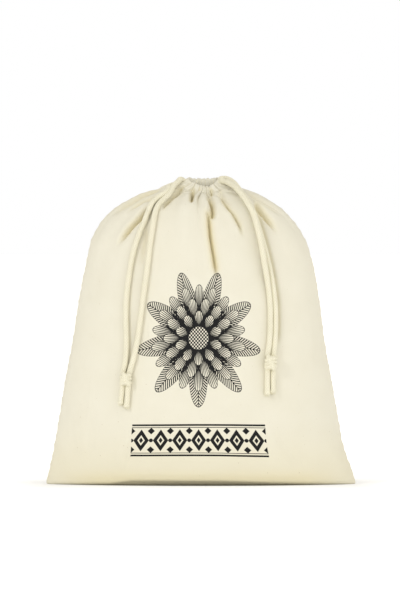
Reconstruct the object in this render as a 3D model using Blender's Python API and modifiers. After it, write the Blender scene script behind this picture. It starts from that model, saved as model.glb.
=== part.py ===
# Cotton bread bag with a drawstring mouth, standing on its base as if lightly filled.
# It is sewn from a front and a back panel that meet at both sides and along the bottom. Each panel's
# top is turned over into a channel, gathered tight round the mouth. Two drawstrings leave the channel,
# one at each side: their ends hang over the front in pairs, tied in a knot with two free tails.
# Metres, +Z up. The front faces -Y, and the origin is on the floor under the middle of the bag.

import math

import bmesh
import bpy
import numpy as np
from mathutils import Vector
from mathutils.bvhtree import BVHTree

# The bag as cut and sewn, laid flat
FLAT_HEIGHT = 0.400  # bottom seam to the top of the channel
CLOTH = 0.0012
CHANNEL_HEIGHT = 0.015
CHANNEL_ROLL = 0.0070  # thickness of the gathered channel with the cord inside
CHANNEL_END = 0.25  # share of that thickness at the side seams, where the cords come out
SEAM_GAP = 0.0005  # from the seam's plane to each panel's edge

CORD_DIAMETER = 0.006
CORD_STEP = 2 * CORD_DIAMETER
TOUCH_GAP = 0.0003

# The standing bag's outline: half widths and half depth at each height
LEVELS = [
    dict(height=0.0006, left=0.1630, right=0.1630, depth=0.0430),
    dict(height=0.0010, left=0.1640, right=0.1640, depth=0.0510),
    dict(height=0.0022, left=0.1644, right=0.1644, depth=0.0562),
    dict(height=0.0060, left=0.1636, right=0.1632, depth=0.0585),
    dict(height=0.0160, left=0.1610, right=0.1600, depth=0.0605),
    dict(height=0.0400, left=0.1560, right=0.1515, depth=0.0635),
    dict(height=0.0690, left=0.1510, right=0.1460, depth=0.0665),
    dict(height=0.1120, left=0.1440, right=0.1385, depth=0.0694),
    dict(height=0.1540, left=0.1360, right=0.1310, depth=0.0700),
    dict(height=0.1970, left=0.1295, right=0.1255, depth=0.0684),
    dict(height=0.2400, left=0.1210, right=0.1175, depth=0.0625),
    dict(height=0.2610, left=0.1160, right=0.1105, depth=0.0575),
    dict(height=0.2820, left=0.1035, right=0.0965, depth=0.0495),
    dict(height=0.2930, left=0.0920, right=0.0855, depth=0.0435),
    dict(height=0.3020, left=0.0775, right=0.0715, depth=0.0370),
    dict(height=0.3080, left=0.0655, right=0.0595, depth=0.0315),
    dict(height=0.3120, left=0.0530, right=0.0480, depth=0.0265),
    dict(height=0.3142, left=0.0415, right=0.0385, depth=0.0226),
    dict(height=0.3154, left=0.0315, right=0.0298, depth=0.0190),
    dict(height=0.3170, left=0.0250, right=0.0246, depth=0.0164),
    dict(height=0.3198, left=0.0208, right=0.0208, depth=0.0142),
    dict(height=0.3235, left=0.0182, right=0.0182, depth=0.0126),
    dict(height=0.3272, left=0.0166, right=0.0166, depth=0.0116),
]
LENS_ENDS = 0.45  # how much more pointed the base is at its corners than an ellipse
EVENING = 0.24  # spreads the columns evenly round a section that is wider than it is deep
FRONT_RIM_DIP = 0.0085  # the front of the mouth lies below its sides and its back
BACK_RIM_DIP = 0.0010

# The front and back edges of the base stand a little off the floor, but not at the corners
BASE_LIFT = dict(
    across=[-1.0, -0.66, -0.46, 0.10, 0.60, 1.0],
    lift=[0.0, 0.0008, 0.0050, 0.0052, 0.0030, 0.0],
)
BASE_LIFT_SHARE = dict(rise=[0.0, 0.010, 0.030, 0.070, 0.20], share=[0.0, 0.25, 1.0, 0.6, 0.0])

# Pleats that run down from the mouth and fade into the body
PLEAT_COUNT = 7
PLEAT_WANDER = 0.55  # how unevenly they are spaced, in pleats
PLEATS = dict(below=[0.0, 0.014, 0.030, 0.060, 0.105], height=[0.0007, 0.0011, 0.0026, 0.0019, 0.0])

# Main creases: points across and up, the greatest depth and half width, and where along it fades out
FRONT_CREASES = [
    dict(depth=0.0034, width=0.0095, path=[(0.012, 0.300), (0.010, 0.265), (0.013, 0.246), (0.017, 0.215)]),
    dict(depth=0.0022, width=0.0070, path=[(-0.008, 0.308), (-0.012, 0.296)]),
    dict(depth=0.0026, width=0.0085, path=[(0.027, 0.298), (0.037, 0.285), (0.047, 0.262)]),
    dict(depth=0.0042, width=0.0095, path=[(-0.057, 0.291), (-0.071, 0.277), (-0.090, 0.250)]),
    dict(depth=0.0026, width=0.0085, path=[(-0.052, 0.306), (-0.078, 0.294), (-0.094, 0.280)]),
    dict(depth=0.0028, width=0.0085, path=[(0.062, 0.290), (0.074, 0.277), (0.084, 0.262)]),
    dict(depth=0.0024, width=0.0110, path=[(-0.060, 0.268), (-0.063, 0.225)]),
    dict(depth=0.0020, width=0.0140, path=[(0.082, 0.052), (0.100, 0.028), (0.120, 0.012)]),
]
BACK_CREASES = [
    dict(depth=0.0034, width=0.0095, path=[(-0.006, 0.302), (-0.004, 0.268), (-0.010, 0.225)]),
    dict(depth=0.0038, width=0.0095, path=[(0.054, 0.292), (0.070, 0.275), (0.086, 0.246)]),
    dict(depth=0.0030, width=0.0090, path=[(-0.036, 0.298), (-0.052, 0.278), (-0.060, 0.248)]),
    dict(depth=0.0026, width=0.0085, path=[(-0.066, 0.296), (-0.082, 0.280), (-0.095, 0.262)]),
    dict(depth=0.0026, width=0.0085, path=[(0.024, 0.306), (0.030, 0.290), (0.034, 0.268)]),
    dict(depth=0.0020, width=0.0140, path=[(-0.090, 0.050), (-0.108, 0.026), (-0.124, 0.012)]),
]
CREASE_FADE = 0.55  # share of a crease's length at its full depth

# Columns run evenly from seam to seam. The first rows cover the part of the cloth that lies on the
# floor, and the others are shares of the rest, closer together at the base's fold and at the mouth.
COLUMNS = 42
FLOOR_ROWS = 4
LEAST_FLOOR = 0.006
ROW_BANDS = [
    dict(up_to=0.060, rows=5),
    dict(up_to=0.140, rows=3),
    dict(up_to=0.700, rows=8),
    dict(up_to=0.955, rows=8),
    dict(up_to=1.000, rows=4),
]

# Each strand's centreline. It leaves the channel over an arch of (x, y, z) points, and then lies on
# the cloth through points across and up, held off it by lift where it runs over the strand beside it.
STRANDS = {
    "cord_left_outer": dict(
        arch=[(-0.0204, 0.0038, 0.3242), (-0.0270, 0.0018, 0.3244), (-0.0345, -0.0060, 0.3210)],
        drape=[
            (-0.0396, 0.3150, 0.0), (-0.0450, 0.3092, 0.0), (-0.0506, 0.3020, 0.0), (-0.0559, 0.2940, 0.0),
            (-0.0612, 0.2850, 0.0), (-0.0660, 0.2743, 0.0), (-0.0708, 0.2610, 0.0), (-0.0746, 0.2476, 0.0),
            (-0.0777, 0.2320, 0.0), (-0.0799, 0.2150, 0.0), (-0.0812, 0.1970, 0.0), (-0.0817, 0.1757, 0.0),
            (-0.0818, 0.1544, 0.0), (-0.0820, 0.1374, 0.0), (-0.0826, 0.1212, 0.0),
        ],
    ),
    "cord_left_inner": dict(
        arch=[(-0.0214, -0.0042, 0.3216), (-0.0260, -0.0082, 0.3214), (-0.0312, -0.0165, 0.3166)],
        drape=[
            (-0.0351, 0.3096, 0.0), (-0.0415, 0.3022, 0.0), (-0.0463, 0.2950, 0.0), (-0.0497, 0.2844, 0.0),
            (-0.0524, 0.2716, 0.0), (-0.0545, 0.2577, 0.0), (-0.0564, 0.2428, 0.0), (-0.0586, 0.2268, 0.0),
            (-0.0609, 0.2098, 0.0), (-0.0636, 0.1928, 0.0), (-0.0665, 0.1736, 0.0), (-0.0692, 0.1544, 0.0),
            (-0.0721, 0.1374, 0.0), (-0.0760, 0.1210, 0.0),
        ],
    ),
    "cord_right_inner": dict(
        arch=[(0.0204, -0.0042, 0.3222), (0.0252, -0.0080, 0.3243), (0.0325, -0.0190, 0.3215)],
        drape=[
            (0.0385, 0.3152, 0.0056), (0.0447, 0.3078, 0.0058), (0.0506, 0.2982, 0.0058), (0.0554, 0.2876, 0.0057),
            (0.0596, 0.2748, 0.0056), (0.0632, 0.2610, 0.0050), (0.0663, 0.2450, 0.0040), (0.0692, 0.2280, 0.0022),
            (0.0717, 0.2110, 0.0006), (0.0733, 0.1938, 0.0), (0.0740, 0.1757, 0.0), (0.0733, 0.1598, 0.0),
            (0.0716, 0.1460, 0.0), (0.0705, 0.1400, 0.0),
        ],
    ),
    "cord_right_outer": dict(
        arch=[(0.0200, 0.0038, 0.3245), (0.0285, 0.0018, 0.3256), (0.0372, -0.0080, 0.3220)],
        drape=[
            (0.0437, 0.3142, 0.0), (0.0500, 0.3058, 0.0), (0.0556, 0.2950, 0.0), (0.0602, 0.2830, 0.0),
            (0.0646, 0.2694, 0.0), (0.0686, 0.2556, 0.0), (0.0726, 0.2407, 0.0), (0.0762, 0.2258, 0.0),
            (0.0790, 0.2098, 0.0), (0.0806, 0.1928, 0.0), (0.0808, 0.1757, 0.0), (0.0800, 0.1598, 0.0),
            (0.0784, 0.1460, 0.0), (0.0768, 0.1386, 0.0),
        ],
    ),
}
KNOTS = {
    "knot_left": dict(across=-0.0795, up=0.1135, radius=0.0064, height=0.0145, lean=0.10),
    "knot_right": dict(across=0.0738, up=0.1310, radius=0.0068, height=0.0165, lean=-0.06),
}
TAILS = {
    "tail_left_outer": dict(start=(-0.0838, 0.1069), end=(-0.0900, 0.0885)),
    "tail_left_inner": dict(start=(-0.0776, 0.1061), end=(-0.0790, 0.0835)),
    "tail_right_inner": dict(start=(0.0703, 0.1226), end=(0.0695, 0.0965)),
    "tail_right_outer": dict(start=(0.0768, 0.1230), end=(0.0784, 0.0975)),
}
TAIL_POINTS = 5
KNOT_RIDGES = 3
KNOT_RIDGE_DEPTH = 0.0006

COTTON = dict(colour=(0.87, 0.83, 0.70), roughness=0.92)
CORD_COTTON = dict(colour=(0.89, 0.85, 0.71), roughness=0.88)


def column(name):
    return np.array([level[name] for level in LEVELS])


def level_knots():
    """How far up the bag each level is, measured along the cloth, from 0 at the floor to 1 at the rim."""
    half_width = (column("left") + column("right")) / 2
    up = np.diff(column("height"))
    inward = (np.diff(half_width) ** 2 + np.diff(column("depth")) ** 2) / 2
    run = np.concatenate([[0.0], np.cumsum(np.sqrt(up**2 + inward))])
    return run / run[-1]


RISES = level_knots()


def level_at(name, rise):
    """A column of LEVELS read along a smooth curve through its rows."""
    values = column(name)
    slopes = np.gradient(values, RISES)
    low = np.clip(np.searchsorted(RISES, rise) - 1, 0, len(RISES) - 2)
    span = RISES[low + 1] - RISES[low]
    t = (rise - RISES[low]) / span
    return (
        (1 + 2 * t) * (1 - t) ** 2 * values[low]
        + t * (1 - t) ** 2 * span * slopes[low]
        + t**2 * (3 - 2 * t) * values[low + 1]
        - t**2 * (1 - t) * span * slopes[low + 1]
    )


def soft_step(value, start, end):
    t = np.clip((value - start) / (end - start), 0, 1)
    return t * t * (3 - 2 * t)


def section_angle(across):
    return math.pi / 2 * across - EVENING / 2 * np.sin(math.pi * across)


def reach(across, rise):
    """How far a panel stands from the seams' plane."""
    facing = np.maximum(np.cos(section_angle(across)), 0)
    power = 1 + LENS_ENDS * np.clip(1 - 2 * rise, 0, 1) ** 2
    return level_at("depth", rise) * facing**power


def body_points(across, along, side):
    """The bag's smooth surface. across runs from -1 at the left seam to 1 at the right one, along is
    the distance up the cloth from the bottom seam, and side is -1 for the front and 1 for the back."""
    on_floor = reach(across, np.zeros_like(across))
    rise = np.clip((along - on_floor) / (FLAT_HEIGHT - on_floor), 0, 1)
    left, right = level_at("left", rise), level_at("right", rise)
    x = (right - left) / 2 + (right + left) / 2 * np.sin(section_angle(across))
    y = SEAM_GAP + np.where(along < on_floor, along, reach(across, rise))
    facing = np.maximum(np.cos(section_angle(across)), 0)
    lift = np.interp(across, **axes(BASE_LIFT, "across", "lift"))
    share = np.interp(rise, **axes(BASE_LIFT_SHARE, "rise", "share"))
    dip = FRONT_RIM_DIP if side < 0 else BACK_RIM_DIP
    z = level_at("height", rise) + lift * share - dip * facing * soft_step(rise, 0.80, 0.97)
    return np.stack([x, side * y, z], axis=-1)


def axes(table, known, wanted):
    """A two-column table as the arguments that numpy's interp takes."""
    return dict(xp=table[known], fp=table[wanted])


def outward(across, along, side):
    """The smooth surface's normal, pointing out of the bag and read a little in from the edges."""
    step = 1e-3
    across = np.clip(across, -0.98, 0.98)
    along = np.clip(along, 2 * step, FLAT_HEIGHT - 2 * step)
    right = body_points(across + step, along, side) - body_points(across - step, along, side)
    up = body_points(across, along + step, side) - body_points(across, along - step, side)
    normal = -side * np.cross(right, up)
    return normal / np.linalg.norm(normal, axis=-1, keepdims=True)


def crease_depth(points, crease):
    """How far a crease presses in the surface at points, seen from the front."""
    path = np.array(crease["path"])
    lengths = np.linalg.norm(np.diff(path, axis=0), axis=1)
    nearest = np.full(points.shape[0], np.inf)
    passed = np.zeros(points.shape[0])
    for start, end, length, before in zip(path, path[1:], lengths, np.cumsum(lengths) - lengths):
        t = np.clip((points - start) @ (end - start) / length**2, 0, 1)
        distance = np.linalg.norm(points - start - t[:, None] * (end - start), axis=1)
        closer = distance < nearest
        nearest = np.where(closer, distance, nearest)
        passed = np.where(closer, (before + t * length) / lengths.sum(), passed)
    fade = 1 - soft_step(passed, CREASE_FADE, 1.0)
    return crease["depth"] * fade * np.exp(-((nearest / crease["width"]) ** 2))


def cloth_points(across, along, side, creases):
    """The panel's middle surface with its pleats and creases."""
    smooth = body_points(across, along, side)
    pleat = PLEAT_COUNT * (across + 1) / 2 + PLEAT_WANDER * np.sin(2.3 * across + 0.8 + side)
    wave = 2 * np.abs(np.cos(math.pi * pleat)) - 1
    height = np.interp(FLAT_HEIGHT - along, **axes(PLEATS, "below", "height"))
    pressed = sum(crease_depth(smooth[:, [0, 2]], crease) for crease in creases)
    clear_of_seams = 1 - np.abs(across) ** 6
    push = (wave * height - pressed * soft_step(smooth[:, 2], 0.002, 0.012)) * clear_of_seams
    return smooth + outward(across, along, side) * push[:, None]


def wall_rows():
    """Each row above the floor, as a share of the cloth there."""
    shares, start = [0.0], 0.0
    for band in ROW_BANDS:
        shares += list(np.linspace(start, band["up_to"], band["rows"] + 1)[1:])
        start = band["up_to"]
    return np.array(shares)


def distance_along(across, row):
    """How far up the cloth from the bottom seam a row of points is."""
    floor = np.maximum(reach(across, np.zeros_like(across)), LEAST_FLOOR)
    wall = np.interp(row - FLOOR_ROWS, np.arange(len(wall_rows())), wall_rows())
    return np.where(row < FLOOR_ROWS, floor * row / FLOOR_ROWS, floor + (FLAT_HEIGHT - floor) * wall)


def material(name, look):
    made = bpy.data.materials.new(name)
    made.use_nodes = True
    shader = made.node_tree.nodes["Principled BSDF"]
    shader.inputs["Base Color"].default_value = (*look["colour"], 1)
    shader.inputs["Roughness"].default_value = look["roughness"]
    shader.inputs["Metallic"].default_value = 0
    return made


def add_object(name, data, look, collection):
    obj = bpy.data.objects.new(name, data)
    obj.data.materials.append(look)
    collection.objects.link(obj)
    return obj


def add_panel(name, side, creases, look, collection):
    """A panel of cloth from a grid, shaped to the bag and given its thickness, more in the channel."""
    rows = FLOOR_ROWS + len(wall_rows()) - 1
    grid = bmesh.new()
    bmesh.ops.create_grid(grid, x_segments=COLUMNS, y_segments=rows, size=1)
    places = np.array([v.co for v in grid.verts])
    across = places[:, 0]
    along = distance_along(across, (places[:, 1] + 1) / 2 * rows)
    for vert, place in zip(grid.verts, cloth_points(across, along, side, creases)):
        vert.co = place
    mesh = bpy.data.meshes.new(name)
    grid.to_mesh(mesh)
    grid.free()
    mesh.shade_smooth()
    panel = add_object(name, mesh, look, collection)
    roll = panel.vertex_groups.new(name="channel")
    foot, middle = FLAT_HEIGHT - CHANNEL_HEIGHT, FLAT_HEIGHT - CHANNEL_HEIGHT / 2
    fullness = np.interp(along, [foot, middle, FLAT_HEIGHT], [0.0, 1.0, 0.35])
    fullness *= 1 - (1 - CHANNEL_END) * soft_step(np.abs(across), 0.50, 0.92)
    for index, weight in enumerate(fullness):
        if weight > 0:
            roll.add([index], float(weight), "REPLACE")
    solid = panel.modifiers.new("thickness", "SOLIDIFY")
    solid.thickness = CHANNEL_ROLL
    solid.vertex_group = roll.name
    solid.thickness_vertex_group = CLOTH / CHANNEL_ROLL
    solid.offset = 0
    return panel


def nearest(point, cloth):
    """The place on the panels that is nearest to point, and its distance."""
    hits = [tree.find_nearest(point) for tree in cloth]
    place, _, _, distance = min(hits, key=lambda hit: hit[3])
    return place, distance


def settled(x, z, clearance, cloth):
    """The point at x and z that comes towards the cloth from the front until it is clearance away."""
    point = Vector((x, -0.20, z))
    for _ in range(60):
        spare = nearest(point, cloth)[1] - clearance
        if spare < 1e-5:
            break
        point.y += spare
    return point


def kept_clear(route, clearance, cloth):
    """The route with its bends evened out, and eased off the cloth wherever it comes too near."""
    for _ in range(3):
        middles = [(before + after) / 2 for before, after in zip(route, route[2:])]
        route[1:-1] = [point.lerp(middle, 0.3) for point, middle in zip(route[1:-1], middles)]
    for _ in range(60):
        for start, end in zip(route, route[1:]):
            for share in (0.0, 0.25, 0.5, 0.75, 1.0):
                point = start.lerp(end, share)
                place, distance = nearest(point, cloth)
                if distance < clearance:
                    push = (point - place).normalized() * (clearance - distance)
                    start += push * (1 - share)
                    end += push * share
    return route


def smooth_route(points, step):
    """Points spaced evenly along a smooth curve through the given ones."""
    points = np.array([tuple(p) for p in points])
    knots = np.concatenate([[0.0], np.cumsum(np.linalg.norm(np.diff(points, axis=0), axis=1))])
    tangents = np.gradient(points, knots, axis=0)
    count = max(2, round(knots[-1] / step)) + 1
    route = []
    for place in np.linspace(0, knots[-1], count):
        low = min(np.searchsorted(knots, place, side="right") - 1, len(knots) - 2)
        span = knots[low + 1] - knots[low]
        t = (place - knots[low]) / span
        route.append(
            (1 + 2 * t) * (1 - t) ** 2 * points[low]
            + t * (1 - t) ** 2 * span * tangents[low]
            + t**2 * (3 - 2 * t) * points[low + 1]
            - t**2 * (1 - t) * span * tangents[low + 1]
        )
    return [Vector(point) for point in route]


def add_tube(name, route, look, collection):
    curve = bpy.data.curves.new(name, "CURVE")
    curve.dimensions = "3D"
    curve.bevel_depth = CORD_DIAMETER / 2
    curve.bevel_resolution = 2
    curve.use_fill_caps = True
    spline = curve.splines.new("POLY")
    spline.points.add(len(route) - 1)
    for point, place in zip(spline.points, route):
        point.co = (*place, 1)
    return add_object(name, curve, look, collection)


def add_strand(name, strand, cloth, look, collection):
    clearance = CORD_DIAMETER / 2 + TOUCH_GAP
    places = [Vector(point) for point in strand["arch"]]
    places += [settled(x, z, clearance + lift, cloth) for x, z, lift in strand["drape"]]
    route = kept_clear(smooth_route(places, CORD_STEP), clearance, cloth)
    return add_tube(name, route, look, collection)


def add_tail(name, tail, cloth, look, collection):
    clearance = CORD_DIAMETER / 2 + TOUCH_GAP
    steps = np.linspace(0, 1, TAIL_POINTS)
    line = [np.array(tail["start"]) * (1 - t) + np.array(tail["end"]) * t for t in steps]
    route = [settled(x, z, clearance, cloth) for x, z in line]
    return add_tube(name, kept_clear(route, clearance, cloth), look, collection)


def add_knot(name, knot, cloth, look, collection):
    """A barrel with wraps round it, where the two ends of a drawstring are tied together."""
    ball = bmesh.new()
    bmesh.ops.create_uvsphere(ball, u_segments=16, v_segments=12, radius=1)
    for vert in ball.verts:
        turn = math.atan2(vert.co.y, vert.co.x)
        ridge = KNOT_RIDGE_DEPTH * math.cos(KNOT_RIDGES * math.pi * vert.co.z + turn)
        around = math.hypot(vert.co.x, vert.co.y) ** 0.5
        radius = (knot["radius"] + ridge - KNOT_RIDGE_DEPTH) * around
        vert.co = (radius * math.cos(turn), radius * math.sin(turn), vert.co.z * knot["height"] / 2)
    mesh = bpy.data.meshes.new(name)
    ball.to_mesh(mesh)
    ball.free()
    mesh.shade_smooth()
    made = add_object(name, mesh, look, collection)
    made.location = settled(knot["across"], knot["up"], knot["radius"] + TOUCH_GAP, cloth)
    made.rotation_euler.y = knot["lean"]
    return made


def build():
    for obj in list(bpy.data.objects):
        bpy.data.objects.remove(obj)
    bag = bpy.data.collections.new("bread_bag")
    bpy.context.scene.collection.children.link(bag)
    cotton = material("cotton", COTTON)
    cord_cotton = material("cord_cotton", CORD_COTTON)
    front = add_panel("front_panel", -1, FRONT_CREASES, cotton, bag)
    back = add_panel("back_panel", 1, BACK_CREASES, cotton, bag)
    depsgraph = bpy.context.evaluated_depsgraph_get()
    cloth = [BVHTree.FromObject(panel, depsgraph) for panel in (front, back)]
    for name, strand in STRANDS.items():
        add_strand(name, strand, cloth, cord_cotton, bag)
    for name, knot in KNOTS.items():
        add_knot(name, knot, cloth, cord_cotton, bag)
    for name, tail in TAILS.items():
        add_tail(name, tail, cloth, cord_cotton, bag)


build()
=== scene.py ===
import math
import random

import bpy
import numpy as np
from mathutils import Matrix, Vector, noise
from mathutils.bvhtree import BVHTree


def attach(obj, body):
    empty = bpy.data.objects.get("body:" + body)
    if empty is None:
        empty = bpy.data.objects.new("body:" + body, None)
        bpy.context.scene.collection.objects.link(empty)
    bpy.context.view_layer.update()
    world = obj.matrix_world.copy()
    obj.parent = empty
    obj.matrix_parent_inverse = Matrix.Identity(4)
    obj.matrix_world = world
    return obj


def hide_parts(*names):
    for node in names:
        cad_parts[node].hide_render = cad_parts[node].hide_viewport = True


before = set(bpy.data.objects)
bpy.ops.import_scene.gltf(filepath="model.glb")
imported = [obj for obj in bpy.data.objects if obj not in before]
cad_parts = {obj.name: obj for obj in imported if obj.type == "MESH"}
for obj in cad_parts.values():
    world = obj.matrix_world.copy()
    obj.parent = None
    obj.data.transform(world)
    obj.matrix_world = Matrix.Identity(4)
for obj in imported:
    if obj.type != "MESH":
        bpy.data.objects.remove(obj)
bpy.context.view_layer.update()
mm = 0.001


# Material nodes, written as sums

class Wire:
    def __init__(self, socket):
        self.socket = socket
        self.tree = socket.id_data

    def maths(self, operation, *values):
        return addNode(self.tree, "ShaderNodeMath", {"operation": operation}, dict(enumerate(values)))

    def __add__(self, other):
        return self.maths("ADD", self, other)

    def __sub__(self, other):
        return self.maths("SUBTRACT", self, other)

    def __mul__(self, other):
        return self.maths("MULTIPLY", self, other)

    def __truediv__(self, other):
        return self.maths("DIVIDE", self, other)

    def __rsub__(self, other):
        return self.maths("SUBTRACT", other, self)

    def __pow__(self, other):
        return self.maths("POWER", self, other)

    __radd__ = __add__
    __rmul__ = __mul__

    def __abs__(self):
        return self.maths("ABSOLUTE", self)

    def sine(self):
        return self.maths("SINE", self)

    def cosine(self):
        return self.maths("COSINE", self)

    def most(self, other):
        return self.maths("MAXIMUM", self, other)

    # distance to the nearest whole number of steps
    def offStep(self, step):
        return abs(self.maths("FLOORED_MODULO", self + step / 2, step) - step / 2)

    # 0 below start and 1 above end, or the other way round if start is the larger
    def ramp(self, start, end):
        values = {"Value": self, "From Min": start, "From Max": end, "To Min": 0, "To Max": 1}
        return addNode(self.tree, "ShaderNodeMapRange", {"interpolation_type": "SMOOTHSTEP"}, values)


# Every other node: its settings first, then the values or wires of its sockets
def addNode(tree, kind, settings=None, values=None, output=0):
    node = tree.nodes.new(kind)
    for name, value in (settings or {}).items():
        setattr(node, name, value)
    for socket, value in (values or {}).items():
        if isinstance(value, Wire):
            tree.links.new(value.socket, node.inputs[socket])
        else:
            node.inputs[socket].default_value = value
    return Wire(node.outputs[output])


def blendColours(tree, share, under, over):
    settings = {"data_type": "RGBA", "clamp_factor": True}
    return addNode(tree, "ShaderNodeMix", settings, {0: share, 6: under, 7: over}, output=2)


def splitPlace(tree, source, output):
    return addNode(tree, "ShaderNodeSeparateXYZ", {}, {0: source}, output)


def joinPlace(tree, x, y, z=0.0):
    return addNode(tree, "ShaderNodeCombineXYZ", {}, {0: x, 1: y, 2: z})


def noiseOf(tree, place, scale, detail=2.0):
    return addNode(tree, "ShaderNodeTexNoise", {}, {"Vector": place, "Scale": scale, "Detail": detail})


def newMaterial(name, constants):
    made = bpy.data.materials.new(name)
    made.use_nodes = True
    shader = made.node_tree.nodes["Principled BSDF"]
    for socket, value in constants.items():
        shader.inputs[socket].default_value = value
    return made, made.node_tree, shader


# Camera, floor and light: a pale studio, the bag seen face on with a long lens

studio = {
    "target": (-0.001, 0.0, 0.1960),
    "elevation": 1.0,
    "distance": 9.0,
    "fieldHeight": 0.639,
    # light from the sky: all round, and added towards the camera's side, from behind and overhead
    "skyLight": 0.45,
    "frontLight": 0.345,
    "backLight": 0.20,
    "topLight": 0.28,
    "skyColour": (1.0, 0.97, 0.90, 1),
    # the floor's colour in the open, its darker colour under the bag as a painted shadow, and how much it glows
    "floorColour": 0.92,
    "paintedShadowFloor": 0.15,
    "floorGlow": 0.345,
    # the bag's foot: its half sizes, how round its outline is in depth, and where its painted shadow ends
    "footHalf": (0.163, 0.056),
    "footPower": 1.38,
    "footEdge": (0.70, 1.12),
    # a weaker painted shadow around it: the half sizes it starts from, its strength, and how far it reaches
    "shadeHalf": (0.150, 0.040),
    "shadeStrength": 0.3,
    "shadeReach": (-0.04, 0.15),
    "lights": [
        # name, direction it comes from, strength, how wide it looks in degrees, colour
        ("key", (-1.3, -1.5, 0.9), 0.62, 12, (0.98, 1.0, 1.06)),
        ("fill", (1.7, -1.1, 0.4), 0.79, 90, (0.98, 1.0, 1.06)),
    ],
}


def setStudio():
    target = Vector(studio["target"])
    tilt = math.radians(studio["elevation"])
    bpy.ops.object.camera_add()
    camera = bpy.context.object
    camera.name = "camera"
    reach = studio["distance"]
    away = Vector((0, -math.cos(tilt), math.sin(tilt)))
    camera.location = target + away * reach
    camera.rotation_euler = away.to_track_quat("Z", "Y").to_euler()
    camera.data.sensor_fit = "VERTICAL"
    camera.data.sensor_height = 36
    camera.data.lens = 36 * reach / studio["fieldHeight"]
    camera.data.clip_end = 50
    bpy.context.scene.camera = camera
    for name, direction, strength, width, colour in studio["lights"]:
        bpy.ops.object.light_add(type="SUN", location=Vector(direction) * 2)
        lamp = bpy.context.object
        lamp.name = name
        lamp.data.energy = strength
        lamp.data.angle = math.radians(width)
        lamp.data.color = colour
        lamp.rotation_euler = Vector(direction).to_track_quat("Z", "Y").to_euler()
    bpy.ops.mesh.primitive_plane_add(size=40, location=(0, 0, 0))
    floor = bpy.context.object
    floor.name = "floor"
    paint, tree, shader = newMaterial("floorPaint", {"Roughness": 0.9, "Emission Strength": 1.0})
    # the floor glows white, except where a shadow is painted into its colour and glow under the bag, with a
    # weaker painted shadow close around it
    place = addNode(tree, "ShaderNodeTexCoord", {}, {}, "Object")
    x, y = abs(splitPlace(tree, place, "X")), abs(splitPlace(tree, place, "Y"))
    (footX, footY), (shadeX, shadeY) = studio["footHalf"], studio["shadeHalf"]
    foot = (x / footX) ** 2 + (y / footY) ** studio["footPower"]
    beyondX, beyondY = (x - shadeX).most(0) * 2, (y - shadeY).most(0)
    near = (beyondX * beyondX + beyondY * beyondY) ** 0.5
    strength = studio["shadeStrength"]
    outsidePaintedShadow = foot.ramp(*studio["footEdge"]) * (near.ramp(*studio["shadeReach"]) * strength + (1 - strength))
    grey = outsidePaintedShadow * (studio["floorColour"] - studio["paintedShadowFloor"]) + studio["paintedShadowFloor"]
    tree.links.new(joinPlace(tree, grey, grey, grey).socket, shader.inputs["Base Color"])
    glow = outsidePaintedShadow * studio["floorGlow"]
    tree.links.new(joinPlace(tree, glow, glow, glow).socket, shader.inputs["Emission Color"])
    floor.data.materials.append(paint)
    # the sky looks white, and its light on the bag is warmer and weaker than that
    sky = bpy.data.worlds.new("sky")
    sky.use_nodes = True
    bpy.context.scene.world = sky
    tree = sky.node_tree
    white = tree.nodes["Background"]
    white.inputs["Color"].default_value = (1, 1, 1, 1)
    way = addNode(tree, "ShaderNodeTexCoord", {}, {}, "Generated")
    back, above = splitPlace(tree, way, "Y"), splitPlace(tree, way, "Z")
    strength = (back * -1).most(0) * studio["frontLight"] + back.most(0) * studio["backLight"]
    strength = strength + above.most(0) * studio["topLight"] + studio["skyLight"]
    lit = addNode(tree, "ShaderNodeBackground", {}, {"Color": studio["skyColour"], "Strength": strength})
    path = addNode(tree, "ShaderNodeLightPath", {}, {}, "Is Camera Ray")
    shown = addNode(tree, "ShaderNodeMixShader", {}, {0: path, 1: lit, 2: Wire(white.outputs[0])})
    tree.links.new(shown.socket, tree.nodes["World Output"].inputs["Surface"])
    bpy.context.scene.view_settings.view_transform = "Standard"
    print("studio: camera,", len(studio["lights"]), "lights and floor")


# The bag's form, in millimetres: half widths and half depth at each height

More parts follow.
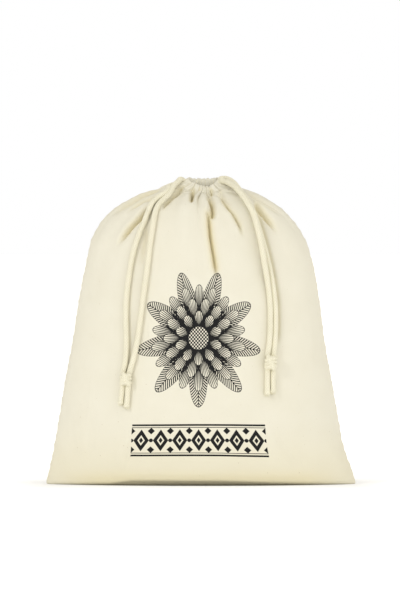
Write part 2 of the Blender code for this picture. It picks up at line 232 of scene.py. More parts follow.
bagForm = {
    "flatWidth": 350.0,
    "flatHeight": 400.0,
    "thickness": 0.7,
    "levels": [
        # height, left, right, depth
        (0.36, 163.0, 163.0, 43.0),
        (0.8, 164.0, 164.0, 49.5),
        (2.1, 164.4, 164.4, 54.2),
        (6.0, 163.6, 163.2, 57.0),
        (16.0, 161.0, 160.0, 60.0),
        (40.0, 156.0, 151.5, 63.6),
        (69.0, 151.0, 146.0, 66.6),
        (112.0, 144.0, 138.5, 69.5),
        (154.0, 136.0, 131.0, 70.1),
        (197.0, 129.5, 125.5, 68.5),
        (240.0, 121.0, 117.5, 62.6),
        (261.0, 116.0, 110.5, 57.6),
        (282.0, 103.5, 96.5, 49.6),
        (293.0, 92.0, 85.5, 43.6),
        (302.0, 77.5, 71.5, 37.1),
        (308.0, 65.5, 59.5, 31.6),
        (312.0, 53.0, 48.0, 26.6),
        (314.2, 41.5, 38.5, 22.6),
        (315.4, 31.5, 29.8, 19.0),
        (317.0, 23.6, 24.6, 16.4),
        (319.2, 18.4, 20.8, 14.2),
        (322.3, 15.0, 18.0, 12.6),
        (325.4, 13.0, 16.2, 11.6),
    ],
    "pointedEnds": 0.45,
    "evening": 0.24,
    "frontDip": 8.5,
    "backDip": 1.0,
    "channel": 15.0,
    "channelBulge": 2.7,
    # how far the hem inside is drawn in towards the middle of the mouth
    "mouthDrawn": 3.2,
    "shoulderPuff": 4.0,
    "slit": 0.13,
    # the rim dips most a little right of the middle
    "dipShift": 0.35,
    # the front's lower fold stands off the floor, and how much of that each height has
    "baseLift": {
        "across": [-1.0, -0.66, -0.47, -0.36, 0.12, 0.37, 0.60, 1.0],
        "lift": [0.0, 0.6, 1.2, 4.2, 4.0, 2.3, 1.1, 0.0],
    },
    "liftShare": {"rise": [0.0, 0.004, 0.012, 0.030, 0.070, 0.20], "share": [0.0, 0.40, 1.0, 0.9, 0.5, 0.0]},
}

levelTable = np.array(bagForm["levels"])
levelSteps = np.diff(levelTable, axis=0)
levelRuns = np.sqrt(
    levelSteps[:, 0] ** 2 + ((levelSteps[:, 1] + levelSteps[:, 2]) ** 2 / 4 + levelSteps[:, 3] ** 2) / 2
)
levelRises = np.concatenate([[0.0], np.cumsum(levelRuns)]) / levelRuns.sum()
levelSlopes = np.gradient(levelTable, levelRises, axis=0)


def softStep(value, start, end):
    t = np.clip((value - start) / (end - start), 0, 1)
    return t * t * (3 - 2 * t)


def readCurve(knots, values, slopes, place):
    low = np.clip(np.searchsorted(knots, place, side="right") - 1, 0, len(knots) - 2)
    span = knots[low + 1] - knots[low]
    t = (place - knots[low]) / span
    return (
        (1 + 2 * t) * (1 - t) ** 2 * values[low]
        + t * (1 - t) ** 2 * span * slopes[low]
        + t**2 * (3 - 2 * t) * values[low + 1]
        - t**2 * (1 - t) * span * slopes[low + 1]
    )


def readLevel(column, rise):
    return readCurve(levelRises, levelTable[:, column], levelSlopes[:, column], rise)


def sectionAngle(across):
    return math.pi / 2 * across - bagForm["evening"] / 2 * np.sin(math.pi * across)


def reachOf(across, rise):
    facing = np.maximum(np.cos(sectionAngle(across)), 0)
    power = 1 + bagForm["pointedEnds"] * np.clip(1 - 2 * rise, 0, 1) ** 2
    return readLevel(3, rise) * facing**power


# across runs from -1 at the left seam to 1 at the right one, along is millimetres of cloth up from
# the bottom seam, and side is -1 for the front and 1 for the back
def smoothForm(across, along, side):
    onFloor = reachOf(across, np.zeros_like(across))
    rise = np.clip((along - onFloor) / (bagForm["flatHeight"] - onFloor), 0, 1)
    left, right = readLevel(1, rise), readLevel(2, rise)
    angle = sectionAngle(across)
    facing = np.maximum(np.cos(angle), 0)
    x = (right - left) / 2 + (right + left) / 2 * np.sin(angle)
    y = np.where(along < onFloor, along, reachOf(across, rise))
    lift = np.interp(across, bagForm["baseLift"]["across"], bagForm["baseLift"]["lift"])
    share = np.interp(rise, bagForm["liftShare"]["rise"], bagForm["liftShare"]["share"])
    dip = bagForm["frontDip"] if side < 0 else bagForm["backDip"]
    lopsided = 1 + bagForm["dipShift"] * np.sin(angle) * (side < 0)
    z = readLevel(0, rise) + lift * share * (side < 0) - dip * lopsided * facing * softStep(rise, 0.80, 0.97)
    return np.stack([x, side * y, z], axis=-1)


def outwardNormal(across, along, side):
    step = 0.002
    across = np.clip(across, -0.98, 0.98)
    along = np.clip(along, 2.0, bagForm["flatHeight"] - 1.0)
    right = smoothForm(across + step, along, side) - smoothForm(across - step, along, side)
    up = smoothForm(across, along + 0.8, side) - smoothForm(across, along - 0.8, side)
    normal = -side * np.cross(right, up)
    return normal / np.linalg.norm(normal, axis=-1, keepdims=True)


# Gathers: each set of ridges has its count, how far below the rim it reaches, and its height there

gathers = {
    "fine": {"count": 23, "below": [0, 8, 18, 30], "height": [0.26, 0.38, 0.40, 0.0]},
    "main": {"count": 9, "below": [0, 8, 15, 24, 36, 60], "height": [0.85, 1.1, 1.7, 1.3, 0.5, 0.0]},
    "broad": {"count": 5, "below": [8, 18, 34, 58, 90, 125], "height": [0.0, 0.9, 2.3, 1.9, 0.7, 0.0]},
    "wander": [(0.055, 2.3, 0.8), (0.030, 5.1, 2.0), (0.018, 9.7, 0.3)],
    "unevenness": 0.40,
    # how far the rim's edge rises over each ridge
    "scallop": 0.55,
}


def gatherRidges(name, across, side):
    waves = (size * np.sin(pace * across * 3 + start + side) for size, pace, start in gathers["wander"])
    warped = across + sum(waves)
    count = gathers[name]["count"]
    ridges = 2 * np.abs(np.cos(math.pi * count * (warped + 1) / 2)) ** 0.7 - 1
    return ridges * (1 + gathers["unevenness"] * np.sin((3 + count * 0.9) * across + count + 2 * side))


def gatherHeight(across, below, side):
    return sum(
        gatherRidges(name, across, side) * np.interp(below, gathers[name]["below"], gathers[name]["height"])
        for name in ("fine", "main", "broad")
    )


# Creases listed one by one, seen from the front: points across and up, the depth of the fold, the
# width of its gentle side, how much steeper the other side is, and how full the cloth stands beside
# that. For a fold that runs down the cloth the gentle side is on the right, or on the left where turn
# is -1. The cleft at its bottom has a depth and a half width, and hold is the share of the path after
# which the fold fades.

def crease(path, depth, wide, sharp, full, turn=1, cleft=(0, 1), hold=0.45):
    return dict(path=path, depth=depth, wide=wide, sharp=sharp, full=full, turn=turn, cleft=cleft, hold=hold)


creases = {
    # the front
    -1: [
        # the pits under the rim and the long fold below the right one
        crease([(9, 304), (12, 298), (12.8, 290), (12.4, 281)], 3.0, 4.0, 0.5, 1.2, -1, (8.0, 2.3), 0.7),
        crease(
            [(7.5, 288), (9.6, 265), (12.3, 249), (14.5, 236), (18, 218)],
            3.0, 7.0, 0.3, 1.2, 1, (7.0, 1.9), 0.75,
        ),
        crease([(-8, 311), (-10, 304), (-11.5, 297)], 2.5, 3.6, 0.7, 0.8, 1, (7.0, 2.1)),
        crease([(8.5, 313), (13.5, 305)], 1.5, 3.0, 0.7, 0.5, 1, (4.5, 1.7)),
        crease([(-1.5, 314), (-1.0, 308)], 1.0, 2.2, 0.8, 0.3, 1, (3.0, 1.3)),
        # the thin folds that fan out from the gathers
        crease([(23, 301), (34, 289), (40.5, 277), (46, 263)], 2.2, 5.0, 0.35, 0.9, 1, (4.4, 1.5), 0.6),
        crease(
            [(-57, 291), (-63.5, 284), (-73.5, 274.5), (-81, 265), (-90, 253)],
            2.4, 4.2, 0.4, 1.6, 1, (6.5, 1.5), 0.6,
        ),
        crease(
            [(-46, 312), (-63, 306), (-73, 300), (-86, 292), (-96, 284)],
            2.6, 5.0, 0.5, 1.2, -1, (3.6, 1.5), 0.6,
        ),
        crease([(-50, 303), (-60, 300), (-71, 294), (-80, 287)], 1.8, 4.0, 0.5, 0.8, -1, (2.8, 1.4), 0.5),
        crease([(58, 296), (66, 286), (74, 277), (82, 266)], 2.6, 5.0, 0.35, 0.9, -1, (5.2, 1.5)),
        # the right pair of strands presses the cloth in along its right edge
        crease(
            [(57, 293), (62.5, 282), (69, 261), (74.5, 240), (79, 218), (82.3, 197), (82.8, 165), (80.5, 147)],
            0.6, 3.0, 0.8, 0.0, 1, (3.8, 1.5), 0.9,
        ),
        crease([(52, 307), (62, 300), (74, 294), (90, 283)], 2.2, 6.0, 0.5, 0.6, 1, (2.0, 1.6)),
        crease([(-57, 270), (-61, 247), (-64, 226)], 2.4, 6.0, 0.6, 0.4, -1, (0.8, 1.6)),
        crease([(-20, 312), (-30, 306), (-38, 299), (-42, 290)], 2.2, 4.5, 0.4, 0.8, 1, (4.4, 1.6), 0.6),
        crease([(20, 308), (27, 300), (31, 290)], 1.6, 3.4, 0.6, 0.5, -1, (1.4, 1.4)),
        # slack at the sides and above the base
        crease([(-92, 268), (-104, 244), (-112, 214)], 1.3, 11, 0.8, 0.3),
        crease([(82, 262), (94, 236), (104, 204)], 1.2, 11, 0.8, 0.3),
        crease([(-73, 46), (-79, 24), (-82, 8)], 1.8, 8, 0.5, 0.7),
        crease([(84, 52), (100, 28), (120, 12)], 1.8, 10, 0.7, 0.6),
        crease([(-118, 70), (-120, 40), (-128, 14)], 1.2, 10, 0.8, 0.5),
    ],
    # the back
    1: [
        crease([(-6, 304), (-4, 270), (-9, 240), (-12, 214)], 2.8, 6.5, 0.3, 1.2, 1, (4.2, 1.7)),
        crease([(54, 293), (69, 277), (80, 258), (90, 240)], 2.6, 6.0, 0.35, 1.0, 1, (4.0, 1.7)),
        crease([(-34, 300), (-50, 281), (-60, 252)], 2.2, 5.0, 0.4, 0.8, -1, (3.2, 1.6)),
        crease([(-64, 297), (-82, 281), (-97, 260)], 2.2, 5.0, 0.5, 0.6, 1, (2.0, 1.6)),
        crease([(24, 307), (30, 291), (35, 266)], 2.2, 4.6, 0.4, 0.6, -1, (3.0, 1.6)),
        crease([(84, 268), (98, 240), (108, 206)], 1.5, 11, 0.8, 0.3),
        crease([(-96, 246), (-106, 214)], 1.4, 11, 0.8, 0.3),
        crease([(-90, 50), (-106, 28), (-124, 12)], 1.7, 10, 0.7, 0.5),
        crease([(64, 60), (66, 34), (60, 14)], 1.5, 9, 0.6, 0.5),
    ],
}


# How far each place is from a path, how much of the path lies behind it, and how far to the left
def nearestOnPath(places, path):
    path = np.array(path, float)
    lengths = np.linalg.norm(np.diff(path, axis=0), axis=1)
    nearest = np.full(len(places), 1e9)
    passed, beside = np.zeros(len(places)), np.zeros(len(places))
    before = 0.0
    for start, end, length in zip(path, path[1:], lengths):
        run = (end - start) / length
        t = np.clip((places - start) @ run, 0, length)
        off = places - start - t[:, None] * run
        distance = np.linalg.norm(off, axis=1)
        closer = distance < nearest
        nearest = np.where(closer, distance, nearest)
        passed = np.where(closer, (before + t) / lengths.sum(), passed)
        beside = np.where(closer, np.sign(run[0] * off[:, 1] - run[1] * off[:, 0]) * distance, beside)
        before += length
    return nearest, passed, beside


def foldFade(fold, passed):
    return softStep(passed, -0.35, 0.22) * (1 - softStep(passed, fold["hold"], 1.0))


def creaseHeight(places, fold):
    nearest, passed, beside = nearestOnPath(places, fold["path"])
    beside *= fold["turn"]
    narrow = fold["wide"] * fold["sharp"]
    # it widens along its path
    width = np.where(beside > 0, fold["wide"], narrow) * (0.75 + 0.5 * passed)
    trough = -fold["depth"] * np.exp(-((nearest / width) ** 1.5))
    cleft, halfWidth = fold["cleft"]
    trough -= cleft * np.exp(-((nearest / halfWidth) ** 2))
    edge = beside / narrow
    shoulder = fold["full"] * np.exp(-(((edge + 2.6) / 2.2) ** 2)) * (edge < 0)
    return foldFade(fold, passed) * (trough + shoulder)


# Warm shade painted into the cloth's colour along a fold: 1 in the deepest ones, fading out over the cloth
# beside them
def paintedCreaseShade(places, fold):
    nearest, passed, _ = nearestOnPath(places, fold["path"])
    strength = min(1.0, (fold["depth"] + fold["cleft"][0]) / 10)
    return strength * foldFade(fold, passed) * np.exp(-((nearest / (fold["wide"] * 0.65)) ** 2))


relief = {
    # the height of each in millimetres, and how wide its waves are
    "swell": 1.5,
    "swellSize": 62,
    "crumple": 0.45,
    "crumpleSize": (15, 24),
    "pucker": 0.34,
    "puckerReach": 7.0,
}


# Slow swells of the filled cloth and small crumples under the gathers, fixed to the cloth
def crumples(across, along, side):
    below = bagForm["flatHeight"] - along
    flat = np.stack([across * bagForm["flatWidth"] / 2, along, np.full_like(along, 40.0 * side)], axis=-1)
    wide, tall = relief["crumpleSize"]
    swell = np.array([noise.noise(Vector(p) / relief["swellSize"]) for p in flat])
    small = np.array([noise.noise(Vector((p[0] / wide, p[1] / tall, p[2] / wide + 9))) for p in flat])
    swell *= relief["swell"] * softStep(along, 45, 95) * softStep(below, 20, 90)
    return swell + relief["crumple"] * small * (1 - softStep(below, 60, 150))


def seamPuckers(across, along):
    edge = (1 - np.abs(across)) * bagForm["flatWidth"] / 2
    wave = np.sin(along * 0.62 + 1.3 * np.sin(along * 0.055)) + 0.6 * np.sin(along * 0.27 + across)
    return relief["pucker"] * wave * np.exp(-edge / relief["puckerReach"]) * softStep(along, 8, 30)


# The channel's ends are left open as a slit at each side seam
def slitShare(below):
    return 1 - softStep(below, bagForm["channel"] - 1, bagForm["channel"] + 9)


paintedShade = {
    # painted shade in the gathers below the rim, then above the floor twice: where it starts to fade, where it
    # ends, its strength
    "hollows": (14, 34, 0.7),
    "low": (2, 75, 0.42),
    "lowMiddle": (3, 22, 0.58),
    "middleEnds": (0.5, 0.85),
}


# How much warm shade is painted into the cloth's colour in the folds, in the gathers and above the base, from 0
# to 1
def paintedClothShade(across, along, side):
    below = bagForm["flatHeight"] - along
    smooth = smoothForm(across * (1 - bagForm["slit"] * slitShare(below)), along, side)
    folds = sum(paintedCreaseShade(smooth[:, [0, 2]], fold) for fold in creases[side] if fold["cleft"][0])
    start, end, strength = paintedShade["hollows"]
    hollows = np.clip(-gatherRidges("main", across, side), 0, 1) * (1 - softStep(below, start, end)) * strength
    start, end, strength = paintedShade["low"]
    low = (1 - softStep(smooth[:, 2], start, end)) * strength
    start, end, strength = paintedShade["lowMiddle"]
    middle = 1 - softStep(np.abs(across), *paintedShade["middleEnds"])
    low += (1 - softStep(smooth[:, 2], start, end)) * middle * strength
    return np.clip(folds + hollows + low, 0, 1)


def panelForm(across, along, inner, side):
    # inner is how far the hem has turned back down inside the mouth
    below = bagForm["flatHeight"] - along
    slit = slitShare(below)
    place = across * (1 - bagForm["slit"] * slit)
    smooth = smoothForm(place, along, side)
    normal = outwardNormal(place, along, side)
    seam = 1 - np.abs(across) ** 8 * (1 - slit)
    pressed = sum(creaseHeight(smooth[:, [0, 2]], fold) for fold in creases[side])
    push = gatherHeight(across, below, side) * seam * (1 - 0.6 * softStep(inner, 0, 4))
    push += pressed * softStep(smooth[:, 2], 2, 12) * seam * softStep(below, 4, 14)
    push += crumples(across, along, side) * seam
    push += seamPuckers(across, along)
    # the cloth puffs up between the channel's ends and the shoulders
    puff = np.exp(-(((below - 18) / 7) ** 2)) * softStep(np.abs(across), 0.45, 0.85)
    push += bagForm["shoulderPuff"] * puff
    bulge = np.sin(math.pi * np.clip(below / bagForm["channel"], 0, 1)) ** 0.8
    layers = 0.45 + bagForm["channelBulge"] * bulge
    layers *= 1 - softStep(below, bagForm["channel"] + 1, bagForm["channel"] + 7)
    push += np.where(inner > 0, -layers - bagForm["mouthDrawn"] * softStep(inner, 0, 10), layers)
    form = smooth + normal * push[:, None]
    form[:, 2] += gathers["scallop"] * gatherRidges("main", across, side) * (1 - softStep(below, 0, 9))
    return form


def rowPlaces(rows):
    # millimetres along the cloth, closer together at the base and at the mouth, then the hem inside
    shares = np.linspace(0, 1, 201)
    density = 1.0 + 1.6 * np.exp(-(((shares - 0.14) / 0.07) ** 2)) + 2.6 * softStep(shares, 0.70, 0.95)
    run = np.concatenate([[0], np.cumsum((density[1:] + density[:-1]) / 2)])
    return np.interp(np.linspace(0, 1, rows), run / run[-1], shares) * bagForm["flatHeight"]


def dropSelection():
    bpy.ops.object.select_all(action="DESELECT")


# A grid added flat and moved into place, its UV map kept
def shapedGrid(name, columns, rows, placeOf):
    dropSelection()
    bpy.ops.mesh.primitive_grid_add(x_subdivisions=columns, y_subdivisions=rows, size=2)
    made = bpy.context.object
    made.name = name
    made.data.name = name
    count = len(made.data.vertices)
    flat = np.empty(count * 3)
    made.data.vertices.foreach_get("co", flat)
    flat = flat.reshape(-1, 3)
    shape = placeOf(flat[:, 0], flat[:, 1]) * mm
    made.data.vertices.foreach_set("co", shape.ravel())
    made.data.update()
    made.data.shade_smooth()
    made.data.uv_layers[0].name = "flat"
    return made, flat


def closeUp(made):
    bpy.ops.object.mode_set(mode="EDIT")
    bpy.ops.mesh.select_all(action="SELECT")
    bpy.ops.mesh.remove_doubles(threshold=1e-6)
    bpy.ops.mesh.normals_make_consistent(inside=False)
    bpy.ops.object.mode_set(mode="OBJECT")
    made.data.shade_smooth()


panels = {
    "columns": 244,
    "rows": 180,
    "hemRows": 12,
    "hemDepth": 15.0,
}


def makePanel(name, side):
    outerRows = rowPlaces(panels["rows"])
    hem = np.linspace(0, panels["hemDepth"], panels["hemRows"] + 1)[1:]
    along = np.concatenate([outerRows, bagForm["flatHeight"] - hem])
    inner = np.concatenate([np.zeros(len(outerRows)), hem])
    last = len(along) - 1

    def placeOf(across, row):
        index = np.rint((row + 1) / 2 * last).astype(int)
        return panelForm(across, along[index], inner[index], side)

    panel, flat = shapedGrid(name, panels["columns"], last, placeOf)
    # the fold attribute holds the shade painted into the cloth's colour in folds, gathers and above the base
    shade = panel.data.attributes.new("fold", "FLOAT", "POINT")
    rowOf = np.rint((flat[:, 1] + 1) / 2 * last).astype(int)
    shade.data.foreach_set("value", paintedClothShade(flat[:, 0], along[rowOf], side))
    # the UV map holds the place on the flat cloth: across, and up from the bottom seam
    layer = panel.data.uv_layers["flat"]
    spots = np.empty(len(layer.data) * 2)
    layer.data.foreach_get("uv", spots)
    spots = spots.reshape(-1, 2)
    index = np.rint(spots[:, 1] * last).astype(int)
    total = bagForm["flatHeight"] + panels["hemDepth"]
    spots[:, 1] = np.where(inner[index] > 0, bagForm["flatHeight"] + inner[index], along[index]) / total
    layer.data.foreach_set("uv", spots.ravel())
    if side > 0:
        panel.data.flip_normals()
    return panel


def thicken(panel, outside, inside):
    panel.data.materials.append(outside)
    panel.data.materials.append(inside)
    solid = panel.modifiers.new("thickness", "SOLIDIFY")
    solid.thickness = bagForm["thickness"] * mm
    solid.offset = 0
    solid.material_offset = 1
    solid.material_offset_rim = 1
    dropSelection()
    bpy.context.view_layer.objects.active = panel
    panel.select_set(True)
    bpy.ops.object.modifier_apply(modifier=solid.name)


# The cloth: natural unbleached plain weave with thicker yarns here and there and a few seed flecks, and warm
# shade painted into its colour in folds, gathers and above the base

clothLook = {
    "colour": (0.800, 0.769, 0.650, 1),
    "shade": (0.745, 0.709, 0.578, 1),
    # the warm dark colour painted in as shade in folds, gathers and above the base
    "paintedShadeColour": (0.770, 0.690, 0.440, 1),
    "yarnPitch": 0.55,
    # how much of that painted shade the deepest places get
    "paintedShadeShare": 0.72,
    "fleckColour": (0.50, 0.41, 0.27, 1),
    "fleckShare": 0.55,
    "inkColour": (0.007, 0.007, 0.008, 1),
    # how much the ink's cover varies with the fibres, and how much smoother it is than the cloth
    "inkUneven": 0.35,
    "inkCover": 1.02,
    "inkSmooth": 0.14,
    "stitchPitch": 2.6,
    "fixed": {"Roughness": 0.92, "Sheen Weight": 0.06, "Sheen Roughness": 0.6, "Specular IOR Level": 0.14},
}


def clothSurface(name, printed=False):
    made, tree, shader = newMaterial(name, clothLook["fixed"])
    uv = addNode(tree, "ShaderNodeUVMap", {"uv_map": "flat"})
    x = (splitPlace(tree, uv, "X") - 0.5) * bagForm["flatWidth"]
    y = splitPlace(tree, uv, "Y") * (bagForm["flatHeight"] + panels["hemDepth"])
    # yarns over and under each other
    turn = math.pi / clothLook["yarnPitch"]
    warp, weft = (x * turn).sine(), (y * turn).sine()
    over = (warp * weft) * 0.5 + 0.5
    weave = over * abs((x * turn).cosine()) + (1 - over) * abs((y * turn).cosine())
    place = joinPlace(tree, x, y)
    warpSlubs = noiseOf(tree, joinPlace(tree, x * 1.5, y * 0.045), 1.0, 1.0).ramp(0.60, 0.78)
    weftSlubs = noiseOf(tree, joinPlace(tree, x * 0.045, y * 1.5, 7.0), 1.0, 1.0).ramp(0.60, 0.78)
    slubs = warpSlubs.most(weftSlubs)
    mottle = noiseOf(tree, place, 0.035, 3.0)
    fibres = noiseOf(tree, place, 2.2, 2.0)
    flecks = noiseOf(tree, place, 0.55, 0.0).ramp(0.845, 0.875)
    # the hem's row of stitches, each sunk at both ends
    off = abs(y - (bagForm["flatHeight"] - bagForm["channel"]))
    pitch = clothLook["stitchPitch"]
    stitch = off.ramp(0.62, 0.34) * abs(x.offStep(pitch) / (pitch / 2)).ramp(0.18, 0.40)
    tone = (mottle - 0.5) * 0.9 + (fibres - 0.5) * 0.30 + (weave - 0.5) * 0.16 + slubs * -0.10 + 0.30
    tone = tone + off.ramp(1.5, 0.3) * 0.6 - stitch * 1.0
    colour = blendColours(tree, tone, clothLook["colour"], clothLook["shade"])
    # shade painted into the colour in folds, gathers and above the base, as the fold attribute gives it
    fold = addNode(tree, "ShaderNodeAttribute", {"attribute_name": "fold"}, {}, "Fac")
    colour = blendColours(tree, fold * clothLook["paintedShadeShare"], colour, clothLook["paintedShadeColour"])
    colour = blendColours(tree, flecks * clothLook["fleckShare"], colour, clothLook["fleckColour"])
    if printed:
        cover = (fibres - 0.5) * clothLook["inkUneven"] + clothLook["inkCover"]
        ink = printedInk(tree, x, y) * cover
        colour = blendColours(tree, ink, colour, clothLook["inkColour"])
        rough = clothLook["fixed"]["Roughness"] - ink * clothLook["inkSmooth"]
        tree.links.new(rough.socket, shader.inputs["Roughness"])
    tree.links.new(colour.socket, shader.inputs["Base Color"])
    height = weave * 0.10 + slubs * 0.16 + (fibres - 0.5) * 0.12 + stitch * 0.5 - off.ramp(1.5, 0.2) * 0.5
    bump = addNode(tree, "ShaderNodeBump", {}, {"Strength": 0.55, "Distance": 0.0010, "Height": height})
    tree.links.new(bump.socket, shader.inputs["Normal"])
    return made


# The print, a plain flower rosette with leaves over a band of lozenges, on the flat cloth

printDesign = {
    "flowerPlace": (0.0, 200.0),
    "flowerRings": [
        # petals, inner radius, outer radius, turn, hatch lines round the flower
        (18, 30.0, 54.0, 0.5, 162),
        (14, 21.0, 41.0, 0.0, 126),
        (10, 12.0, 28.0, 0.5, 80),
    ],
    "leaves": (9, 38.0, 70.0, 0.25),
    "heart": 12.5,
    "bandPlace": (0.0, 96.0),
    "bandHalf": 67.0,
    "lozenges": 7,
    "lozenge": (7.6, 11.6),
    "ruleHeight": 16.2,
    # how far the threads sag below a straight line towards the middle, at the base of the print
    "sag": 52.0,
}


def printedInk(tree, x, y):
    design = printDesign
    # set straight across the front, although the cloth's threads sag there
    across = x / (bagForm["flatWidth"] / 2)
    y = y + across * across * design["sag"] * (1.12 - y / bagForm["flatHeight"])
    flowerX, flowerY = design["flowerPlace"]
    u, v = x - flowerX, y - flowerY
    radius = (u * u + v * v) ** 0.5
    angle = u.maths("ARCTAN2", v, u)
    # leaves first, then each ring of petals over what lies under it
    count, start, end, turn = design["leaves"]
    half = angle * (count / 2) + turn * math.pi
    swing, off = half.cosine(), abs(half.sine())
    edge = abs(swing) ** 2.2 * (end - start) + start
    inside = (radius - edge).ramp(0.25, -0.25)
    outline = abs(radius - edge).ramp(1.3, 0.7)
    shade = (radius - start) / (end - start)
    veins = (radius * 1.75 - off * 31).sine().ramp(shade * 0.9 - 0.75, shade * 0.9 - 0.35)
    midrib = (off * radius).ramp(1.9, 1.1)
    ink = inside * veins.most(midrib).most(outline)
    for petals, inner, outer, phase, hatch in design["flowerRings"]:
        lobe = abs((angle * (petals / 2) + phase * math.pi).cosine())
        edge = lobe**0.55 * (outer - inner) + inner
        inside = (radius - edge).ramp(0.2, -0.2)
        line = abs(radius - edge).ramp(1.15, 0.6).most(lobe.ramp(0.20, 0.09))
        depth = (radius - inner) / (outer - inner)
        level = depth * 1.05 - 0.12 - (1 - lobe) * 0.55
        hatching = ((angle * hatch).cosine() * 0.5 + 0.5 - level).ramp(-0.06, 0.06)
        ink = ink * (1 - inside) + inside * line.most(hatching)
    heart = radius.ramp(design["heart"] + 0.3, design["heart"] - 0.3)
    seeds = ((u * 1.7).sine() * (v * 1.7).sine()).ramp(-0.22, 0.0)
    rim = abs(radius - design["heart"]).ramp(1.3, 0.6)
    ink = (ink * (1 - heart) + heart * seeds).most(rim)
    # the band of lozenges between rules
    bandX, bandY = design["bandPlace"]
    u, v = x - bandX, abs(y - bandY)
    pitch = 2 * design["bandHalf"] / design["lozenges"]
    wide, tall = design["lozenge"]
    diamond = u.offStep(pitch) / wide + v / tall
    solid = diamond.ramp(1.03, 0.98) * diamond.ramp(0.46, 0.50)
    core = diamond.ramp(0.30, 0.24)
    between = (u + pitch / 2).offStep(pitch)
    dot = (between * between + v * v).ramp(4.6, 3.4)
    corner = between / 3.6 + abs(v - 10.0) / 3.6
    beyondRule = v - design["ruleHeight"]
    rule = abs(beyondRule).ramp(1.1, 0.8).most(abs(beyondRule + 2.6).ramp(0.45, 0.25))
    ends = abs(u).ramp(design["bandHalf"] + 0.2, design["bandHalf"] - 0.2)
    band = solid.most(core).most(dot).most(corner.ramp(1.04, 0.96)).most(rule) * ends
    return ink.most(band)


setStudio()
frontPanel = makePanel("frontPanel", -1)
backPanel = makePanel("backPanel", 1)
print("panels:", len(frontPanel.data.polygons) + len(backPanel.data.polygons), "faces of cloth")
clothPlain = clothSurface("clothPlain")
clothPrinted = clothSurface("clothPrinted", printed=True)


# Drawstrings: round braided cotton, lying where the solids lie and seated on this cloth

cordForm = {
    "diameter": 6.0,
    "sides": 36,
    "ringStep": 0.65,
    "strands": 6,
    "layLength": 19.2,
    "relief": 0.17,
    "seat": 0.25,
    # how far strands and tails run on into their knot
    "tucked": 3.0,
    # a share of the radius at places from an end: a plain end is rounded, a cut one opens out a little
    "plainEnd": [(1.2, 1), (0.4, 0.75), (0, 0)],
    "cutEnd": [(4.5, 1), (1.3, 1.16), (0.4, 0.95), (0, 0)],
}

# each strand's arch over the mouth, then points across and up that it drapes over, and how far it
# is held off the cloth there
strandRoutes = {
    "cordLeftOuter": {
        "node": "cord_left_outer",
        "arch": [(-12.2, 4.6, 320.6), (-17.2, 3.8, 322.3), (-23.6, -1.6, 320.6), (-30.0, -9.0, 316.2)],
        "drape": [
            (-36.8, 311.6, 0), (-42.2, 307.6, 0), (-47.6, 304.2, 0), (-51.4, 300.4, 0), (-53.8, 296.4, 0),
            (-55.9, 290.4, 0), (-59.6, 280.6, 0), (-64.0, 270.6, 0), (-67.9, 259.8, 0), (-71.2, 248.6, 0),
            (-73.8, 237.0, 0), (-75.8, 224.0, 0), (-78.0, 208.0, 0), (-79.2, 190.0, 0), (-79.3, 174.7, 0),
            (-78.8, 158.0, 0), (-78.9, 142.8, 0), (-80.2, 130.0, 0), (-82.2, 121.2, 0),
        ],
    },
    "cordLeftInner": {
        "node": "cord_left_inner",
        "arch": [(-13.4, -2.6, 319.6), (-18.4, -3.6, 322.5), (-23.6, -9.4, 322.3), (-29.0, -17.8, 317.6)],
        "drape": [
            (-33.4, 309.2, 0.4), (-39.0, 303.8, 0.4), (-44.6, 298.8, 0.2), (-47.8, 292.4, 0), (-49.4, 285.6, 0),
            (-50.9, 275.4, 0), (-52.5, 264.8, 0), (-54.1, 254.2, 0), (-55.4, 243.2, 0), (-57.4, 227.0, 0),
            (-60.0, 208.0, 0), (-62.2, 190.8, 0), (-64.4, 173.6, 0), (-67.2, 154.4, 0), (-70.8, 137.4, 0),
            (-75.6, 121.0, 0),
        ],
    },
    "cordRightInner": {
        "node": "cord_right_inner",
        "arch": [(15.2, -4.6, 320.0), (20.2, -5.0, 322.2), (25.6, -9.8, 322.2), (32.3, -19.4, 319.4)],
        "drape": [
            (38.3, 314.6, 5.8), (44.6, 306.8, 6.0), (50.4, 298.2, 6.0), (55.3, 288.7, 6.0), (59.3, 275.2, 5.9),
            (62.9, 261.0, 5.7), (65.9, 244.0, 4.8), (68.6, 228.0, 3.6), (71.2, 212.0, 1.6), (72.9, 196.0, 0),
            (73.4, 178.0, 0), (73.1, 160.0, 0), (71.8, 146.0, 0), (70.7, 140.0, 0),
        ],
    },
    "cordRightOuter": {
        "node": "cord_right_outer",
        "arch": [(13.6, 4.6, 321.2), (18.6, 3.8, 325.0), (26.4, 1.4, 325.6), (34.4, -7.4, 321.4)],
        "drape": [
            (40.9, 313.4, 0), (46.8, 305.8, 0), (52.4, 296.4, 0), (57.0, 286.0, 0), (61.2, 273.4, 0),
            (65.0, 260.4, 0), (69.2, 245.0, 0), (72.7, 230.0, 0), (75.8, 213.0, 0), (78.2, 196.0, 0),
            (78.9, 178.0, 0), (78.6, 160.0, 0), (77.6, 146.0, 0), (76.6, 138.6, 0),
        ],
    },
}

tails = {
    "tailLeftOuter": {"node": "tail_left_outer", "start": (-82.8, 106.9), "end": (-85.0, 86.5)},
    "tailLeftInner": {"node": "tail_left_inner", "start": (-77.0, 106.1), "end": (-78.8, 83.0)},
    "tailRightInner": {"node": "tail_right_inner", "start": (70.4, 122.6), "end": (70.2, 96.5)},
    "tailRightOuter": {"node": "tail_right_outer", "start": (76.2, 123.0), "end": (76.3, 98.5)},
}

knots = {
    "knotLeft": {"node": "knot_left", "place": (-79.5, 113.5), "radius": 6.4, "height": 14.5},
    "knotRight": {"node": "knot_right", "place": (73.8, 131.0), "radius": 6.8, "height": 16.5},
}

